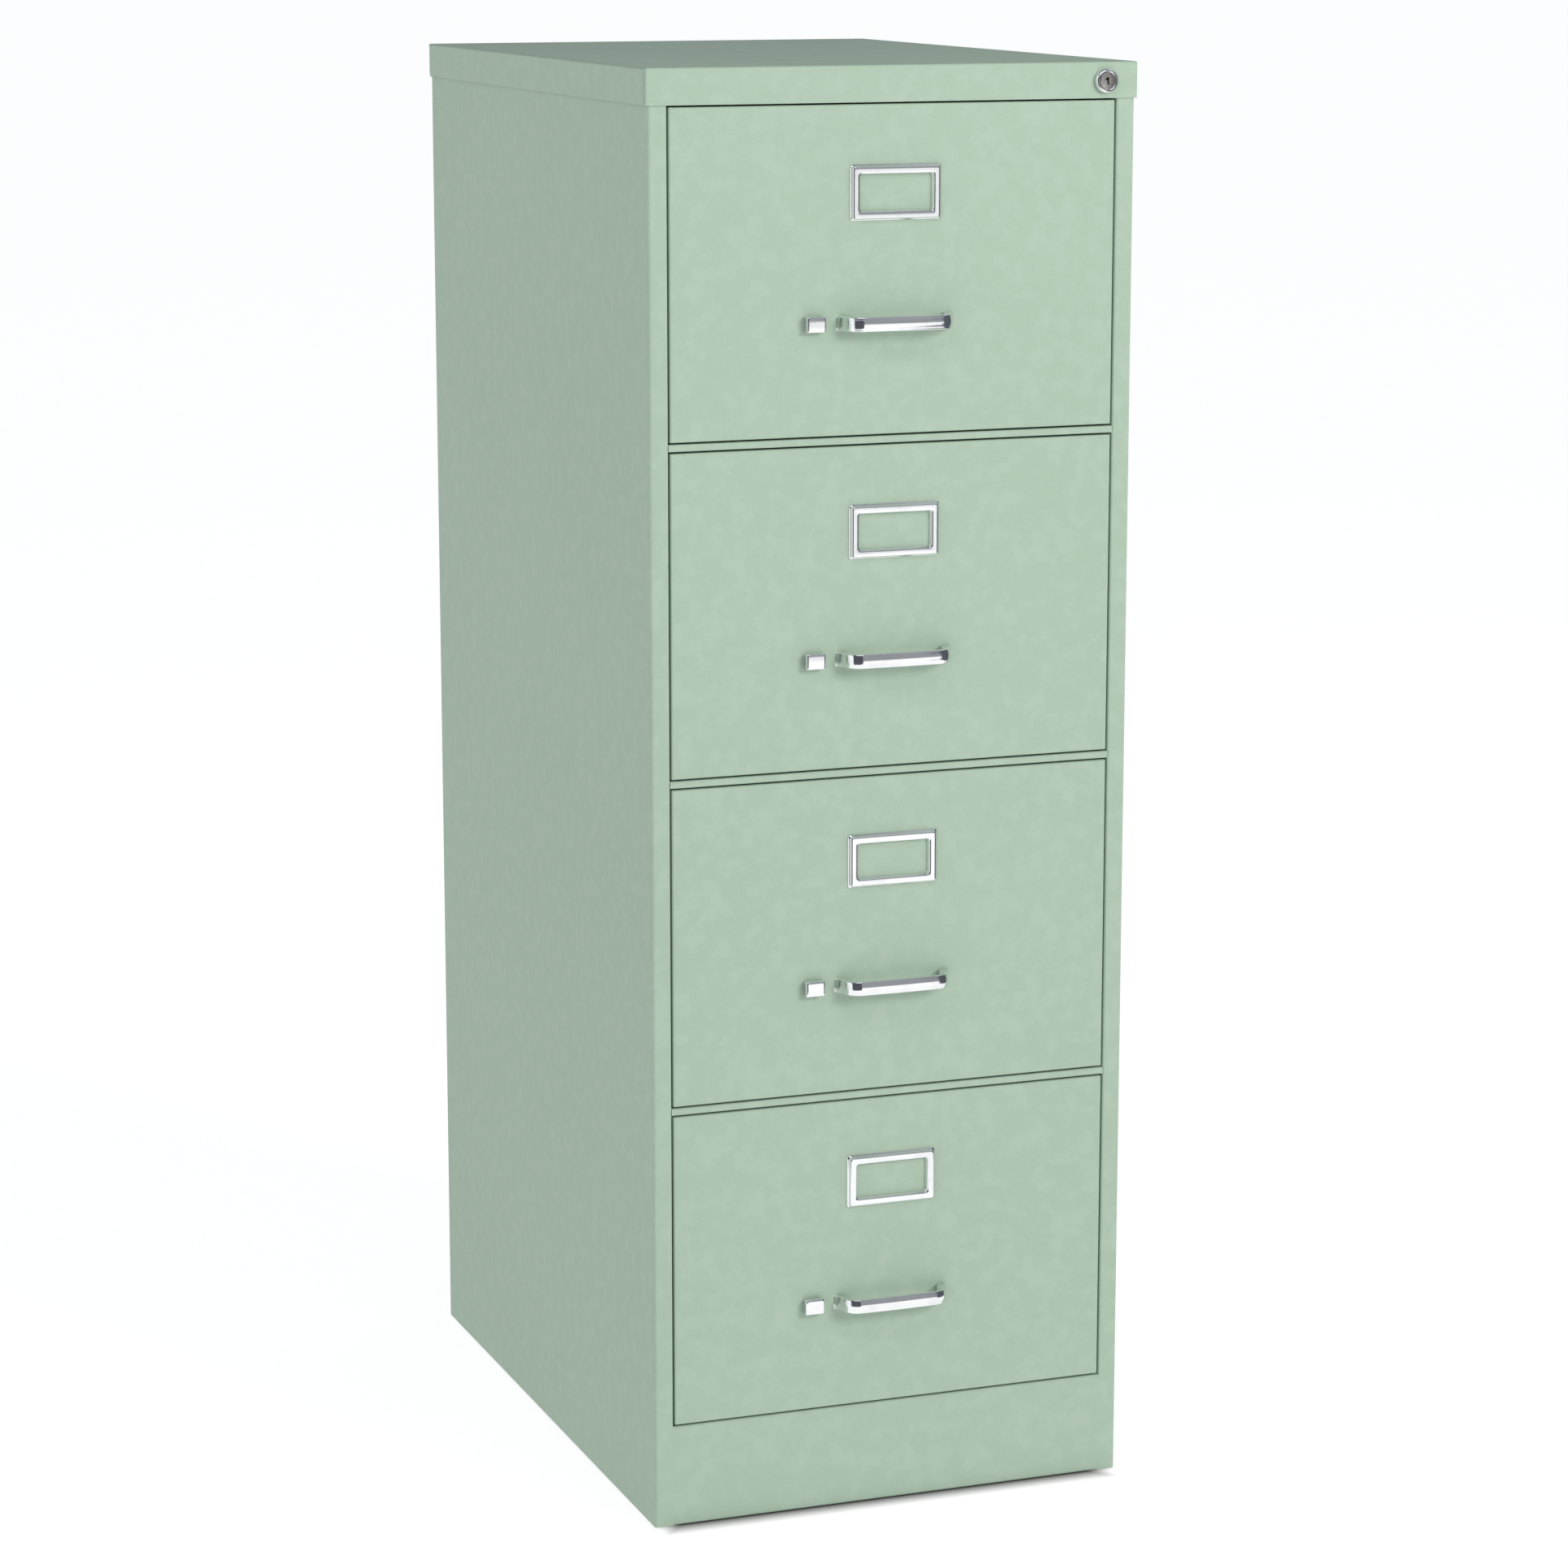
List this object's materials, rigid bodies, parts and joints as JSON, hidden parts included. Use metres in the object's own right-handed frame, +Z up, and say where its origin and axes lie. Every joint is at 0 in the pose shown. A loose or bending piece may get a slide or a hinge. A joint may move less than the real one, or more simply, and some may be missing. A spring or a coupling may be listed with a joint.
{
  "type": "filing cabinet",
  "caption": "Upright metal filing cabinet: stacked full-extension drawers with bow pulls, thumb latches and label holders, under a folded cap with a key lock.",
  "frame": {"origin": "on the floor at the centre of the footprint, pulls included", "axes": "+Z up, the drawers open towards -Y, +X to the right seen from the front"},
  "size_m": [0.4636, 0.696, 1.3208],
  "materials": {
    "cabinet_paint": "pale sage-green baked enamel, semi-gloss with a fine orange peel",
    "drawer_paint": "the same green enamel, thinner inside the drawers",
    "zinc_steel": "bright zinc-plated rolled steel",
    "bearing_steel": "polished balls in a pressed retainer, lightly greased",
    "chrome": "polished chrome plate",
    "lock_nickel": "satin nickel"
  },
  "bodies": {
    "case": {"side_panel_left": "cabinet_paint", "side_panel_right": "cabinet_paint", "back_panel": "cabinet_paint", "top_cap": "cabinet_paint", "base_panel": "cabinet_paint", "front_rails": "cabinet_paint", "cross_members": "zinc_steel", "leveling_glides": "zinc_steel", "slide_uprights": "zinc_steel", "slide_outer_members": "zinc_steel", "lock_housing": "chrome", "lock_nut": "zinc_steel", "lock_bar_rivets": "zinc_steel"},
    "lock_cylinder": {"lock_plug": "lock_nickel", "lock_cam": "zinc_steel"},
    "lock_bar": {"lock_bar": "zinc_steel"},
    "drawer_1": {"drawer_front_1": "cabinet_paint", "drawer_tray_1": "drawer_paint", "slide_inner_1": "zinc_steel", "pull_1": "chrome", "pull_screws_1": "zinc_steel", "label_holder_1": "chrome"},
    "slide_mid_1": {"slide_mid_1": "zinc_steel", "ball_cages_1": "bearing_steel"},
    "latch_1": {"thumb_button_1": "chrome", "latch_bar_1": "zinc_steel"},
    "follower_1": {"follower_plate_1": "drawer_paint"},
    "drawer_2": {"drawer_front_2": "cabinet_paint", "drawer_tray_2": "drawer_paint", "slide_inner_2": "zinc_steel", "pull_2": "chrome", "pull_screws_2": "zinc_steel", "label_holder_2": "chrome"},
    "slide_mid_2": {"slide_mid_2": "zinc_steel", "ball_cages_2": "bearing_steel"},
    "latch_2": {"thumb_button_2": "chrome", "latch_bar_2": "zinc_steel"},
    "follower_2": {"follower_plate_2": "drawer_paint"},
    "drawer_3": {"drawer_front_3": "cabinet_paint", "drawer_tray_3": "drawer_paint", "slide_inner_3": "zinc_steel", "pull_3": "chrome", "pull_screws_3": "zinc_steel", "label_holder_3": "chrome"},
    "slide_mid_3": {"slide_mid_3": "zinc_steel", "ball_cages_3": "bearing_steel"},
    "latch_3": {"thumb_button_3": "chrome", "latch_bar_3": "zinc_steel"},
    "follower_3": {"follower_plate_3": "drawer_paint"},
    "drawer_4": {"drawer_front_4": "cabinet_paint", "drawer_tray_4": "drawer_paint", "slide_inner_4": "zinc_steel", "pull_4": "chrome", "pull_screws_4": "zinc_steel", "label_holder_4": "chrome"},
    "slide_mid_4": {"slide_mid_4": "zinc_steel", "ball_cages_4": "bearing_steel"},
    "latch_4": {"thumb_button_4": "chrome", "latch_bar_4": "zinc_steel"},
    "follower_4": {"follower_plate_4": "drawer_paint"}
  },
  "joints": [
    {"name": "drawer_slide_1", "type": "slide", "parent": "case", "child": "drawer_1", "axis": [0, -1, 0], "range_m": [0, 0.5981]},
    {"name": "slide_mid_run_1", "type": "slide", "parent": "case", "child": "slide_mid_1", "axis": [0, -1, 0], "range_m": [0, 0.29905]},
    {"name": "thumb_latch_1", "type": "slide", "parent": "drawer_1", "child": "latch_1", "axis": [1, 0, 0], "range_m": [0, 0.007], "stiffness_N_per_m": 400, "springref_m": -0.005},
    {"name": "follower_run_1", "type": "slide", "parent": "drawer_1", "child": "follower_1", "axis": [0, -1, 0], "range_m": [0, 0.4965]},
    {"name": "drawer_slide_2", "type": "slide", "parent": "case", "child": "drawer_2", "axis": [0, -1, 0], "range_m": [0, 0.5981]},
    {"name": "slide_mid_run_2", "type": "slide", "parent": "case", "child": "slide_mid_2", "axis": [0, -1, 0], "range_m": [0, 0.29905]},
    {"name": "thumb_latch_2", "type": "slide", "parent": "drawer_2", "child": "latch_2", "axis": [1, 0, 0], "range_m": [0, 0.007], "stiffness_N_per_m": 400, "springref_m": -0.005},
    {"name": "follower_run_2", "type": "slide", "parent": "drawer_2", "child": "follower_2", "axis": [0, -1, 0], "range_m": [0, 0.4965]},
    {"name": "drawer_slide_3", "type": "slide", "parent": "case", "child": "drawer_3", "axis": [0, -1, 0], "range_m": [0, 0.5981]},
    {"name": "slide_mid_run_3", "type": "slide", "parent": "case", "child": "slide_mid_3", "axis": [0, -1, 0], "range_m": [0, 0.29905]},
    {"name": "thumb_latch_3", "type": "slide", "parent": "drawer_3", "child": "latch_3", "axis": [1, 0, 0], "range_m": [0, 0.007], "stiffness_N_per_m": 400, "springref_m": -0.005},
    {"name": "follower_run_3", "type": "slide", "parent": "drawer_3", "child": "follower_3", "axis": [0, -1, 0], "range_m": [0, 0.4965]},
    {"name": "drawer_slide_4", "type": "slide", "parent": "case", "child": "drawer_4", "axis": [0, -1, 0], "range_m": [0, 0.5981]},
    {"name": "slide_mid_run_4", "type": "slide", "parent": "case", "child": "slide_mid_4", "axis": [0, -1, 0], "range_m": [0, 0.29905]},
    {"name": "thumb_latch_4", "type": "slide", "parent": "drawer_4", "child": "latch_4", "axis": [1, 0, 0], "range_m": [0, 0.007], "stiffness_N_per_m": 400, "springref_m": -0.005},
    {"name": "follower_run_4", "type": "slide", "parent": "drawer_4", "child": "follower_4", "axis": [0, -1, 0], "range_m": [0, 0.4965]},
    {"name": "lock_turn", "type": "hinge", "parent": "case", "child": "lock_cylinder", "pos_m": [0.2004, -0.32515, 1.304], "axis": [0, 1, 0], "range_deg": [0, 90]},
    {"name": "lock_bar_lift", "type": "slide", "parent": "case", "child": "lock_bar", "axis": [0, 0, 1], "range_m": [0, 0.01131]}
  ],
  "couplings": [
    {"joint": "slide_mid_run_1", "follows": "drawer_slide_1", "ratio": 0.5},
    {"joint": "slide_mid_run_2", "follows": "drawer_slide_2", "ratio": 0.5},
    {"joint": "slide_mid_run_3", "follows": "drawer_slide_3", "ratio": 0.5},
    {"joint": "slide_mid_run_4", "follows": "drawer_slide_4", "ratio": 0.5},
    {"joint": "lock_turn", "follows": "lock_bar_lift", "rad_per_m": 138.84}
  ]
}
